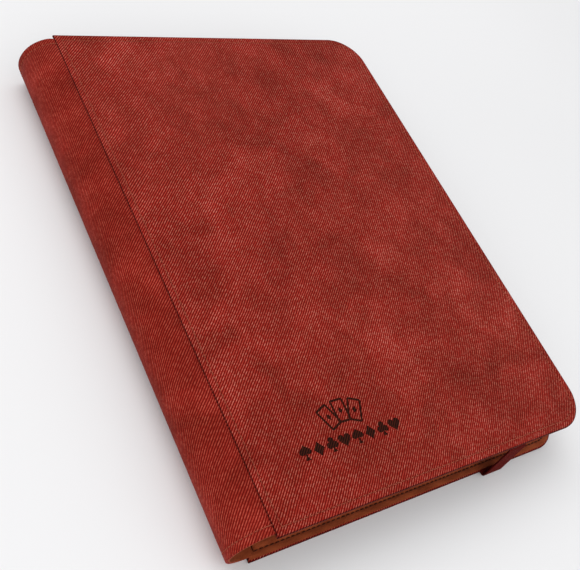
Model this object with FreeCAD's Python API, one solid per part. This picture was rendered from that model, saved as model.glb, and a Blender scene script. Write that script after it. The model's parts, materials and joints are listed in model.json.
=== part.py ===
"""Trading card binder, closed and lying on its back cover.

Two padded covers are joined by a soft half-round spine. The spine is a fabric tube wall that
bends everywhere, so it is built as a row of narrow staves, each hinged to the next along its
outer edge. A binding block on the middle stave holds twenty pocket leaves, which fan out as
the spine unrolls. An elastic strap comes out of the back cover's bottom and top edges and
crosses over the leaves, just under the front cover.

Frame: +X from the spine to the fore-edge, +Y along the spine, +Z out of the front cover.
The origin is the middle of the bounding box's bottom face. All sizes are in millimetres.
"""
import FreeCAD
import Part
import math
import os
from dataclasses import dataclass

# Covers
COVER_HEIGHT = 335.0        # along the spine
FRONT_WIDTH = 241.0         # seam to fore-edge
BACK_OVERHANG = 9.0         # the back cover stands this far past the front one
CLOSED_THICKNESS = 38.0     # outer face to outer face
CORNER_RADIUS = 23.0        # both corners of each fore-edge
SKIN = 0.9                  # ribbed outer fabric
FOAM = 0.8
BOARD = 1.2
LINING = 0.7                # suede-like inner fabric
HEM_WIDTH = 6.0             # skin turned in round the board
HEM_CLEARANCE = 0.2
SEAM_GAP = 0.15             # each side of a seam that bends

# Perimeter stitching
STITCH_INSET = 4.5          # from the cover's edge to the middle of the thread
THREAD_WIDTH = 0.6
THREAD_DEPTH = 0.3
THREAD_CLEARANCE = 0.05

# Spine
STAVES = 7                  # an odd number, so that one stave is in the middle
SPINE_DROP = 0.4            # the spine's fabric lies this far under the covers' faces
SPINE_SKIN = 0.9
SPINE_CORE = 0.7
SPINE_LINING = 0.5
SPINE_END_INSET = 2.5       # the spine is this much shorter than the covers, at each end

# Elastic strap
STRAP_WIDTH = 15.0
STRAP_THICKNESS = 1.0
STRAP_CENTRE = 178.0        # from the seam to the middle of the strap
STRAP_TAIL = 18.0           # length sewn in under the lining
STRAP_TAIL_CLEARANCE = 0.05
STRAP_LOW_STAND_OFF = 3.1   # the strap's centre line outside the back cover's edge
STRAP_HIGH_STAND_OFF = -0.3
STRAP_LOW_BEND = 2.2
STRAP_HIGH_BEND = 4.0
STRAP_CLEARANCE = 0.3       # above and below the run over the leaves

# Pocket leaves
LEAVES = 20
LEAF_FORE_CLEARANCE = 15.0  # the longest-reaching leaf to the front cover's fore-edge
LEAF_END_CLEARANCE = 17.5   # leaf to cover, at each end
LEAF_SHEET = 0.35
POCKET_GAP = 0.1            # room for a card
POCKET_FILM = 0.2
POCKET_COLUMNS = 3
POCKET_ROWS = 3
POCKET_FORE_MARGIN = 2.0    # plain edge of the leaf past the last pocket
POCKET_END_MARGIN = 9.5     # plain edge of the leaf at each end
POCKET_SLIT = 1.0           # mouth of each pocket, on its side nearest the spine
WELD = 2.0
BINDING_MARGIN = 11.0       # plain strip beside the binding
STACK_CLEARANCE = 0.4       # from the back lining to the first leaf

# Binding block
BINDING_EDGE = -4.5         # seam to the outermost leaves' fold line
BINDING_ROUND = 9.0         # how far the middle leaves' fold line stands out past that
BINDING_CLEARANCE = 0.95    # fold line to the block's face
BINDING_NECK_HALF = 3.4
BINDING_NECK_LENGTH = 4.5
BINDING_SHOULDER = -6.8     # seam to the block's widest corners
BINDING_POINTS = 20

COVER_THICKNESS = SKIN + FOAM + BOARD + LINING
BACK_WIDTH = FRONT_WIDTH + BACK_OVERHANG
SPINE_CENTRE_Z = CLOSED_THICKNESS / 2
SPINE_RADIUS = CLOSED_THICKNESS / 2 - SPINE_DROP
SPINE_INNER_RADIUS = SPINE_RADIUS - SPINE_SKIN - SPINE_CORE - SPINE_LINING
SEAM_X = (SPINE_RADIUS - max(FRONT_WIDTH, BACK_WIDTH)) / 2
HALF_HEIGHT = COVER_HEIGHT / 2
LEAF_WIDTH = FRONT_WIDTH - LEAF_FORE_CLEARANCE - BINDING_EDGE - BINDING_ROUND
LEAF_HEIGHT = COVER_HEIGHT - 2 * LEAF_END_CLEARANCE
POCKET_WIDTH = ((LEAF_WIDTH - BINDING_MARGIN - POCKET_FORE_MARGIN) / POCKET_COLUMNS
                - WELD - POCKET_SLIT)
POCKET_HEIGHT = (LEAF_HEIGHT - 2 * POCKET_END_MARGIN - WELD) / POCKET_ROWS - WELD
STAVE_ANGLE = 180.0 / STAVES
MIDDLE_STAVE = (STAVES + 1) // 2
STACK_BOTTOM = COVER_THICKNESS + STACK_CLEARANCE
STACK_TOP = CLOSED_THICKNESS - COVER_THICKNESS - STRAP_THICKNESS - 2 * STRAP_CLEARANCE
STRAP_RUN_Z = STACK_TOP + STRAP_CLEARANCE + STRAP_THICKNESS / 2
STRAP_TAIL_Z = COVER_THICKNESS - LINING - STRAP_TAIL_CLEARANCE - STRAP_THICKNESS / 2
OPEN_ANGLE = 180.0          # from closed to both covers flat


@dataclass(frozen=True)
class Cover:
    """One cover: its name, its width, and where its outer face is and which way is inwards."""

    name: str
    width: float
    outer_z: float
    inwards: int


BACK = Cover("back", BACK_WIDTH, 0.0, 1)
FRONT = Cover("front", FRONT_WIDTH, CLOSED_THICKNESS, -1)


def box(x0, x1, y0, y1, z0, z1):
    """A block between two corners."""
    return Part.makeBox(x1 - x0, y1 - y0, z1 - z0, FreeCAD.Vector(x0, y0, z0))


def prism(points, half_length):
    """A closed (x, z) outline, straight-sided, run along Y to both sides of the middle."""
    corners = [FreeCAD.Vector(x, -half_length, z) for x, z in points]
    face = Part.Face(Part.makePolygon(corners + corners[:1]))
    return face.extrude(FreeCAD.Vector(0, 2 * half_length, 0))


def panel(cover, depth0, depth1, inset):
    """A slice of a cover between two depths under its outer face, drawn in by an inset.

    The fore-edge's two corners are round and the seam's two corners are square.
    """
    left = SEAM_X + max(inset, SEAM_GAP)
    right = SEAM_X + cover.width - inset
    half = HALF_HEIGHT - inset
    radius = CORNER_RADIUS - inset
    slope = radius * math.sqrt(0.5)
    z = min(cover.outer_z + cover.inwards * depth for depth in (depth0, depth1))

    def at(x, y):
        return FreeCAD.Vector(x, y, z)

    edges = [
        Part.LineSegment(at(left, half), at(left, -half)),
        Part.LineSegment(at(left, -half), at(right - radius, -half)),
        Part.Arc(at(right - radius, -half), at(right - radius + slope, -half + radius - slope),
                 at(right, radius - half)),
        Part.LineSegment(at(right, radius - half), at(right, half - radius)),
        Part.Arc(at(right, half - radius), at(right - radius + slope, half - radius + slope),
                 at(right - radius, half)),
        Part.LineSegment(at(right - radius, half), at(left, half)),
    ]
    outline = Part.Wire([edge.toShape() for edge in edges])
    return Part.Face(outline).extrude(FreeCAD.Vector(0, 0, abs(depth1 - depth0)))


def stitch_ring(cover, depth0, depth1, extra=0.0):
    """A closed ring along the stitching line, and by extra wider on both sides for its groove."""
    half = THREAD_WIDTH / 2 + extra
    outer = panel(cover, depth0, depth1, STITCH_INSET - half)
    return outer.cut(panel(cover, depth0, depth1, STITCH_INSET + half))


def strap_pockets():
    """Room for the strap's two sewn-in tails in the back cover."""
    low_x = SEAM_X + STRAP_CENTRE - STRAP_WIDTH / 2 - STRAP_TAIL_CLEARANCE
    high_x = low_x + STRAP_WIDTH + 2 * STRAP_TAIL_CLEARANCE
    low_z = STRAP_TAIL_Z - STRAP_THICKNESS / 2 - STRAP_TAIL_CLEARANCE
    high_z = COVER_THICKNESS - LINING
    reach = HALF_HEIGHT - STRAP_TAIL - STRAP_TAIL_CLEARANCE
    bottom = box(low_x, high_x, -HALF_HEIGHT - 1, -reach, low_z, high_z)
    top = box(low_x, high_x, reach, HALF_HEIGHT + 1, low_z, high_z)
    return bottom.fuse(top)


def cover_parts(cover):
    """The layers of one cover, from the outer skin to the lining, and its stitching."""
    groove = THREAD_DEPTH + THREAD_CLEARANCE
    board_depth = SKIN + FOAM
    lining_depth = board_depth + BOARD
    core_inset = HEM_WIDTH + HEM_CLEARANCE
    skin = panel(cover, 0, SKIN, 0).cut(stitch_ring(cover, 0, groove, THREAD_CLEARANCE))
    hem = panel(cover, SKIN, lining_depth, 0).cut(panel(cover, SKIN, lining_depth, HEM_WIDTH))
    foam = panel(cover, SKIN, board_depth, core_inset)
    board = panel(cover, board_depth, lining_depth, core_inset)
    lining = panel(cover, lining_depth, COVER_THICKNESS, 0)
    lining = lining.cut(stitch_ring(cover, COVER_THICKNESS - groove, COVER_THICKNESS,
                                    THREAD_CLEARANCE))
    thread_out = stitch_ring(cover, THREAD_CLEARANCE, groove)
    thread_in = stitch_ring(cover, COVER_THICKNESS - groove, COVER_THICKNESS - THREAD_CLEARANCE)
    if cover is BACK:
        hem = hem.cut(strap_pockets())
        board = board.cut(strap_pockets())
    return {
        cover.name + "_cover_skin": skin,
        cover.name + "_cover_hem": hem,
        cover.name + "_cover_foam": foam,
        cover.name + "_cover_board": board,
        cover.name + "_cover_lining": lining,
        cover.name + "_cover_stitching": Part.makeCompound([thread_out, thread_in]),
    }


def spine_point(radius, angle):
    """A point of the spine's section; 270 degrees is the back seam and 90 the front seam."""
    turn = math.radians(angle)
    return SEAM_X + radius * math.cos(turn), SPINE_CENTRE_Z + radius * math.sin(turn)


def spine_fold(index):
    """The (x, z) of a fold line: 0 is the back seam and STAVES is the front seam."""
    return spine_point(SPINE_RADIUS, 270.0 - index * STAVE_ANGLE)


def stave_width():
    """The straight distance between two neighbouring fold lines."""
    return 2 * SPINE_RADIUS * math.sin(math.radians(STAVE_ANGLE / 2))


def hinge_pole():
    """The (x, z) about which the spine's middle makes its quarter turn on the back cover.

    It is the one point that has the same place on the middle stave closed and lying flat. It
    falls on the spine's wall, and the front cover's pole is its mirror image.
    """
    closed_x, closed_z = spine_fold(MIDDLE_STAVE - 1)
    flat_x = SEAM_X - (MIDDLE_STAVE - 1) * stave_width()
    total = flat_x + closed_z
    difference = closed_x - SPINE_DROP
    return (total + difference) / 2, (total - difference) / 2


def stave_layer(index, outer, inner):
    """One layer of one stave, a curved strip between two radii."""
    trim = math.degrees(SEAM_GAP / inner)
    start = 270.0 - (index - 1) * STAVE_ANGLE - trim
    end = 270.0 - index * STAVE_ANGLE + trim
    middle = (start + end) / 2
    half_length = HALF_HEIGHT - SPINE_END_INSET

    def at(radius, angle):
        x, z = spine_point(radius, angle)
        return FreeCAD.Vector(x, -half_length, z)

    edges = [
        Part.Arc(at(outer, start), at(outer, middle), at(outer, end)).toShape(),
        Part.LineSegment(at(outer, end), at(inner, end)).toShape(),
        Part.Arc(at(inner, end), at(inner, middle), at(inner, start)).toShape(),
        Part.LineSegment(at(inner, start), at(outer, start)).toShape(),
    ]
    return Part.Face(Part.Wire(edges)).extrude(FreeCAD.Vector(0, 2 * half_length, 0))


def spine_parts():
    """Outer fabric, springy core and lining of every stave."""
    core_radius = SPINE_RADIUS - SPINE_SKIN
    lining_radius = core_radius - SPINE_CORE
    parts = {}
    for index in range(1, STAVES + 1):
        parts[f"spine_skin_{index}"] = stave_layer(index, SPINE_RADIUS, core_radius)
        parts[f"spine_core_{index}"] = stave_layer(index, core_radius, lining_radius)
        parts[f"spine_lining_{index}"] = stave_layer(index, lining_radius, SPINE_INNER_RADIUS)
    return parts


def binding_arc(share):
    """A point of the arc of fold lines, for a share from -1 at the bottom leaf to 1 at the top.

    Returns the point's x and z, and the unit normal that points towards the leaves.
    """
    pitch = (STACK_TOP - STACK_BOTTOM) / LEAVES
    half = (STACK_TOP - STACK_BOTTOM - pitch) / 2
    x = SEAM_X + BINDING_EDGE + BINDING_ROUND * (1 - share * share)
    z = (STACK_TOP + STACK_BOTTOM) / 2 + half * share
    length = math.hypot(half, 2 * BINDING_ROUND * share)
    return x, z, half / length, 2 * BINDING_ROUND * share / length


def leaf_fold(number):
    """The (x, z) of a leaf's fold line; leaf 1 is next to the front cover."""
    share = 1 - 2 * (number - 1) / (LEAVES - 1)
    x, z, _, _ = binding_arc(share)
    return x, z


def leaf_open_angle(number):
    """How far a leaf has turned when the binder lies open, in degrees.

    Leaf 1 lies over on the front cover and the last leaf stays down on the back cover. The
    others crowd towards the two sides, as pages do.
    """
    share = 1 - 2 * (number - 1) / (LEAVES - 1)
    return OPEN_ANGLE / 2 * (1 + math.sin(math.pi / 2 * share))


def binding_block():
    """The bar that every leaf is bound to, fixed to the middle stave's lining."""
    face = []
    for index in range(BINDING_POINTS + 1):
        x, z, normal_x, normal_z = binding_arc(2 * index / BINDING_POINTS - 1)
        face.append((x - BINDING_CLEARANCE * normal_x, z - BINDING_CLEARANCE * normal_z))
    shoulder = SEAM_X + BINDING_SHOULDER
    back = SEAM_X - SPINE_INNER_RADIUS
    neck_low = SPINE_CENTRE_Z - BINDING_NECK_HALF
    neck_high = SPINE_CENTRE_Z + BINDING_NECK_HALF
    outline = face + [
        (shoulder, face[-1][1]),
        (back + BINDING_NECK_LENGTH, neck_high),
        (back - 1, neck_high),
        (back - 1, neck_low),
        (back + BINDING_NECK_LENGTH, neck_low),
        (shoulder, face[0][1]),
    ]
    half_length = LEAF_HEIGHT / 2
    hollow = Part.makeCylinder(SPINE_INNER_RADIUS, 2 * half_length,
                               FreeCAD.Vector(SEAM_X, -half_length, SPINE_CENTRE_Z),
                               FreeCAD.Vector(0, 1, 0))
    keep = hollow.fuse(box(SEAM_X - 1, SEAM_X + 30, -half_length, half_length, 0,
                           CLOSED_THICKNESS))
    return prism(outline, half_length).common(keep)


def leaf():
    """One pocket leaf with its fold line on the Y axis: a sheet with films welded to both sides.

    Each film makes a column of pockets. It is welded along its far side and across each row,
    and it is open along its side nearest the spine, where the cards slide in.
    """
    half_sheet = LEAF_SHEET / 2
    film_low = half_sheet + POCKET_GAP
    film_high = film_low + POCKET_FILM
    solid = box(0, LEAF_WIDTH, -LEAF_HEIGHT / 2, LEAF_HEIGHT / 2, -half_sheet, half_sheet)
    row_pitch = POCKET_HEIGHT + WELD
    half_column = (POCKET_ROWS * row_pitch + WELD) / 2
    pieces = []
    for side in (-1, 1):
        for column in range(POCKET_COLUMNS):
            left = BINDING_MARGIN + column * (POCKET_WIDTH + WELD + POCKET_SLIT)
            right = left + POCKET_WIDTH
            low, high = sorted((side * film_low, side * film_high))
            pieces.append(box(left, right + WELD, -half_column, half_column, low, high))
            low, high = sorted((side * half_sheet, side * film_low))
            pieces.append(box(right, right + WELD, -half_column, half_column, low, high))
            for row in range(POCKET_ROWS + 1):
                y = -half_column + row * row_pitch
                pieces.append(box(left, right, y, y + WELD, low, high))
    return solid.multiFuse(pieces).removeSplitter()


def leaf_parts():
    """Every leaf at its place in the closed stack."""
    pattern = leaf()
    parts = {}
    for number in range(1, LEAVES + 1):
        x, z = leaf_fold(number)
        parts[f"leaf_{number:02d}"] = pattern.translated(FreeCAD.Vector(x, 0, z))
    return parts


def rounded_path(corners, radii):
    """Straight runs joined by tangent arcs, in the YZ plane at the strap's low side.

    corners are (y, z) pairs and radii has one entry for each corner but the two ends.
    """
    x = SEAM_X + STRAP_CENTRE
    points = [FreeCAD.Vector(x, y, z) for y, z in corners]
    edges = []
    start = points[0]
    for before, corner, after, radius in zip(points, points[1:], points[2:], radii):
        arrive = (corner - before).normalize()
        leave = (after - corner).normalize()
        turn = arrive.getAngle(leave)
        reach = radius * math.tan(turn / 2)
        first = corner - arrive * reach
        last = corner + leave * reach
        inwards = (leave - arrive).normalize()
        middle = corner + inwards * (radius / math.cos(turn / 2) - radius)
        edges.append(Part.LineSegment(start, first).toShape())
        edges.append(Part.Arc(first, middle, last).toShape())
        start = last
    edges.append(Part.LineSegment(start, points[-1]).toShape())
    return Part.Wire(edges)


def elastic_strap():
    """The strap: tails sewn into the back cover, two legs, and a run over the leaves."""
    tail_y = HALF_HEIGHT - STRAP_TAIL
    low_y = HALF_HEIGHT + STRAP_LOW_STAND_OFF
    high_y = HALF_HEIGHT + STRAP_HIGH_STAND_OFF
    half_path = [(tail_y, STRAP_TAIL_Z), (low_y, STRAP_TAIL_Z), (high_y, STRAP_RUN_Z)]
    corners = [(-y, z) for y, z in half_path] + half_path[::-1]
    path = rounded_path(corners, [STRAP_LOW_BEND, STRAP_HIGH_BEND,
                                  STRAP_HIGH_BEND, STRAP_LOW_BEND])
    left = SEAM_X + STRAP_CENTRE - STRAP_WIDTH / 2
    low = STRAP_TAIL_Z - STRAP_THICKNESS / 2
    section = Part.makePolygon([
        FreeCAD.Vector(left, -tail_y, low),
        FreeCAD.Vector(left + STRAP_WIDTH, -tail_y, low),
        FreeCAD.Vector(left + STRAP_WIDTH, -tail_y, low + STRAP_THICKNESS),
        FreeCAD.Vector(left, -tail_y, low + STRAP_THICKNESS),
        FreeCAD.Vector(left, -tail_y, low),
    ])
    return path.makePipeShell([section], True, False)


def all_parts():
    """Every node of the binder, by name."""
    parts = {}
    parts.update(cover_parts(BACK))
    parts.update(cover_parts(FRONT))
    parts.update(spine_parts())
    parts["binding_block"] = binding_block()
    parts.update(leaf_parts())
    parts["elastic_strap"] = elastic_strap()
    return parts


def main():
    """Writes one STEP file for each node and prints what each holds."""
    os.makedirs("parts", exist_ok=True)
    for name, shape in all_parts().items():
        if not shape.isValid() or not shape.Solids:
            raise ValueError(name + " isn't a valid solid")
        shape.exportStep(f"parts/{name}.step")
        print(f"{name}: {len(shape.Solids)} solid(s), {shape.Volume / 1000:.2f} cm3")
    pole_x, pole_z = hinge_pole()
    print(f"spine hinge at x {pole_x:.2f}, z {pole_z:.2f}")
    for number in range(1, LEAVES + 1):
        print(f"leaf_{number:02d} turns {leaf_open_angle(number):.1f} degrees")


if __name__ == "__main__":
    main()
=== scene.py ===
"""Looks of a trading card binder: padded cloth covers, a soft round spine, pocket leaves, a strap.

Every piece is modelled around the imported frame, in metres, closed and lying on its back cover:
+X from the spine to the fore-edge, +Y along the spine, +Z out of the front cover.
"""
import json
import logging
import math
from collections.abc import Callable, Iterator, Sequence
from contextlib import contextmanager
from dataclasses import dataclass, field
from enum import Enum

import bmesh
import bpy
from mathutils import Euler, Matrix, Vector

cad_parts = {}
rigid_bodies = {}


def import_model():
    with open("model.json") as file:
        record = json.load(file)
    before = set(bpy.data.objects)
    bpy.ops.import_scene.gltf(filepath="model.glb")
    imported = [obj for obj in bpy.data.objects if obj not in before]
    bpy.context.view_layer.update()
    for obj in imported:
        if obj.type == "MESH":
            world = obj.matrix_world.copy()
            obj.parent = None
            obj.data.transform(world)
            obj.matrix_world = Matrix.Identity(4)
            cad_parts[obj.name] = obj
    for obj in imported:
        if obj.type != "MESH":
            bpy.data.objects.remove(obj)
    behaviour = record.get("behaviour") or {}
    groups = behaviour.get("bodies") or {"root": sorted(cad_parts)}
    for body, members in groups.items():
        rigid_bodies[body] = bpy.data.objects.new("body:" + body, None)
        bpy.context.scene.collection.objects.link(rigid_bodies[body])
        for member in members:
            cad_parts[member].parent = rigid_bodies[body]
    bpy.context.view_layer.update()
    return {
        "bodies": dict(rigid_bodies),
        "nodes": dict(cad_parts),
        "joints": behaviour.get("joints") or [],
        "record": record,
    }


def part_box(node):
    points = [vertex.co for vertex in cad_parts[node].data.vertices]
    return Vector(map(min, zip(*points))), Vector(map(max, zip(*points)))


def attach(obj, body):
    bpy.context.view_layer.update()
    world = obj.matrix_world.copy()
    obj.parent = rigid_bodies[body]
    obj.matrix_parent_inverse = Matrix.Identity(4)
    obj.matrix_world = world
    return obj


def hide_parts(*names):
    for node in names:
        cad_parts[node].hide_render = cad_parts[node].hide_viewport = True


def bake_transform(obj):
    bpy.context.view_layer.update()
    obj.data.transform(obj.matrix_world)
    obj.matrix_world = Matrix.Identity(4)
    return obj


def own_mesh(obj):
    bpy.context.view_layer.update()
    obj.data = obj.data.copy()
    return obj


log = logging.getLogger("binder")
MM = 0.001
# How near two vertices are when they count as one, in metres.
DOUBLES = 1e-6
# A face counts as facing a direction when its normal's share along it is over this.
FACING = 0.9
# The ribs of the cover cloth: millimetres apart, and degrees from the spine's direction.
RIB_PITCH = 1.3
RIB_SLANT = 46.4
# Cover cloth is shaded with an edge where it turns by more than this, in degrees.
CLOTH_EDGE_ANGLE = 50.0
Triple = tuple[float, float, float]
Colour = Triple
Pair = tuple[float, float]
Stops = tuple[tuple[float, Colour], ...]
Piece = bpy.types.Object
Material = bpy.types.Material
Socket = bpy.types.NodeSocket


# ---------------------------------------------------------------- modelling helpers


def deselect() -> None:
    """Leaves every object unselected, the frame's own nodes too."""
    if bpy.context.object and bpy.context.object.mode != "OBJECT":
        bpy.ops.object.mode_set(mode="OBJECT")
    bpy.ops.object.select_all(action="DESELECT")


def activate(piece: Piece) -> None:
    """Makes one piece the only selected one and the active one.

    Args:
        piece: The piece.
    """
    deselect()
    piece.select_set(True)
    bpy.context.view_layer.objects.active = piece


@contextmanager
def editing(piece: Piece, mode: str = "FACE") -> Iterator[None]:
    """Edit mode on one piece, with nothing selected at the start.

    Args:
        piece: The mesh to edit.
        mode: VERT, EDGE or FACE selection.

    Returns:
        Nothing; edit mode ends with the block.
    """
    activate(piece)
    bpy.ops.object.mode_set(mode="EDIT")
    bpy.ops.mesh.select_mode(type=mode)
    pick_none()
    yield
    bpy.ops.object.mode_set(mode="OBJECT")


def pick_all() -> None:
    """In edit mode, selects everything."""
    bpy.ops.mesh.select_all(action="SELECT")


def pick_none() -> None:
    """In edit mode, selects nothing."""
    bpy.ops.mesh.select_all(action="DESELECT")


def extrude(x: float, y: float, z: float) -> None:
    """In edit mode, extrudes what is selected and moves it."""
    bpy.ops.mesh.extrude_region_move(TRANSFORM_OT_translate={"value": (x, y, z)})


def pick_vertices(piece: Piece, test: Callable[[Vector], bool]) -> None:
    """In edit mode, selects only the vertices whose place passes the test.

    Args:
        piece: The piece in edit mode.
        test: Whether a place is wanted.
    """
    pick_none()
    shape = bmesh.from_edit_mesh(piece.data)
    for vertex in shape.verts:
        vertex.select = test(vertex.co)
    shape.select_flush(True)
    bmesh.update_edit_mesh(piece.data)


def pick_faces(piece: Piece, test: Callable[[Vector, Vector], bool]) -> None:
    """In edit mode, selects only the faces whose centre and normal pass the test.

    Args:
        piece: The piece in edit mode.
        test: Whether a centre and a normal are wanted.
    """
    pick_none()
    shape = bmesh.from_edit_mesh(piece.data)
    for face in shape.faces:
        face.select = test(face.calc_center_median(), face.normal)
    bmesh.update_edit_mesh(piece.data)


def name_it(piece: Piece, name: str) -> None:
    """Names a piece and its mesh alike."""
    piece.name = name
    piece.data.name = name


def move_mesh(piece: Piece, shift: Vector | Triple) -> None:
    """Moves a piece's mesh and leaves its object where it is."""
    piece.data.transform(Matrix.Translation(shift))


def new_plane(name: str, low: Pair, high: Pair,
              z: float) -> Piece:
    """A rectangle facing up, between two (x, y) corners, with its place in its mesh.

    Args:
        name: The piece's name.
        low: The lowest corner.
        high: The highest corner.
        z: The height it lies at.

    Returns:
        The piece.
    """
    deselect()
    bpy.ops.mesh.primitive_plane_add(
        size=1, location=((low[0] + high[0]) / 2, (low[1] + high[1]) / 2, z))
    piece = bpy.context.object
    name_it(piece, name)
    piece.scale = (high[0] - low[0], high[1] - low[1], 1)
    settle(piece)
    return piece


def settle(piece: Piece) -> None:
    """Puts a piece's place, turn and size into its mesh."""
    activate(piece)
    bpy.ops.object.transform_apply(location=True, rotation=True, scale=True)


def slice_along(piece: Piece, axis: int, places: list[float]) -> None:
    """Cuts the whole mesh across an axis at each place, without parting it.

    Args:
        piece: The piece.
        axis: 0 to cut across X, 1 across Y.
        places: Where the cuts go.
    """
    normal = [0.0, 0.0, 0.0]
    normal[axis] = 1.0
    with editing(piece):
        for place in places:
            pick_all()
            point = [0.0, 0.0, 0.0]
            point[axis] = place
            bpy.ops.mesh.bisect(plane_co=point, plane_no=normal)


def spaced(low: float, high: float, pitch: float) -> list[float]:
    """Evenly spaced places strictly between two ends, about a pitch apart."""
    count = max(1, round((high - low) / pitch))
    return [low + (high - low) * index / count for index in range(1, count)]


def apply_modifiers(piece: Piece) -> None:
    """Applies every modifier in order.

    Args:
        piece: The piece.
    """
    activate(piece)
    for modifier in list(piece.modifiers):
        bpy.ops.object.modifier_apply(modifier=modifier.name)


def face_outwards(piece: Piece) -> None:
    """Merges doubled vertices and turns every face outwards.

    Args:
        piece: The piece.
    """
    with editing(piece):
        pick_all()
        bpy.ops.mesh.remove_doubles(threshold=DOUBLES)
        bpy.ops.mesh.normals_make_consistent(inside=False)


def smooth(piece: Piece, angle: float = 35.0) -> None:
    """Shades a piece smooth, with an edge wherever it turns by more than the angle."""
    activate(piece)
    bpy.ops.object.shade_smooth_by_angle(angle=math.radians(angle))


def join(name: str, pieces: list[Piece]) -> Piece:
    """Joins pieces into the first one and names it.

    Args:
        name: The new name.
        pieces: The pieces; the first one stays.

    Returns:
        The joined piece.
    """
    deselect()
    for piece in pieces:
        piece.select_set(True)
    bpy.context.view_layer.objects.active = pieces[0]
    bpy.ops.object.join()
    name_it(pieces[0], name)
    return pieces[0]


def copy_of(piece: Piece, name: str, shift: Vector) -> Piece:
    """A copy with its own mesh, moved in its mesh.

    Args:
        piece: What is copied.
        name: The copy's name.
        shift: How far the copy is moved.

    Returns:
        The copy.
    """
    activate(piece)
    bpy.ops.object.duplicate(linked=False)
    copy = bpy.context.object
    name_it(copy, name)
    move_mesh(copy, shift)
    return copy


def dress(piece: Piece, *materials: Material) -> None:
    """Gives a piece its finishes, in slot order.

    Args:
        piece: The piece.
        *materials: One finish for each slot.
    """
    piece.data.materials.clear()
    for material in materials:
        piece.data.materials.append(material)


# ---------------------------------------------------------------- finishes


class Pattern(Enum):
    """What a finish's pattern follows: the piece's own coordinates, or the map of its cloth."""

    OBJECT_SPACE = "object"
    ALONG_SURFACE = "cloth_map"


def linear(red: int, green: int, blue: int) -> Colour:
    """A colour from its 8-bit display values.

    Args:
        red: From 0 to 255.
        green: From 0 to 255.
        blue: From 0 to 255.

    Returns:
        The colour as the shader takes it.
    """
    def channel(value: int) -> float:
        share = value / 255
        return share / 12.92 if share <= 0.04045 else ((share + 0.055) / 1.055) ** 2.4
    return channel(red), channel(green), channel(blue)


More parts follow.
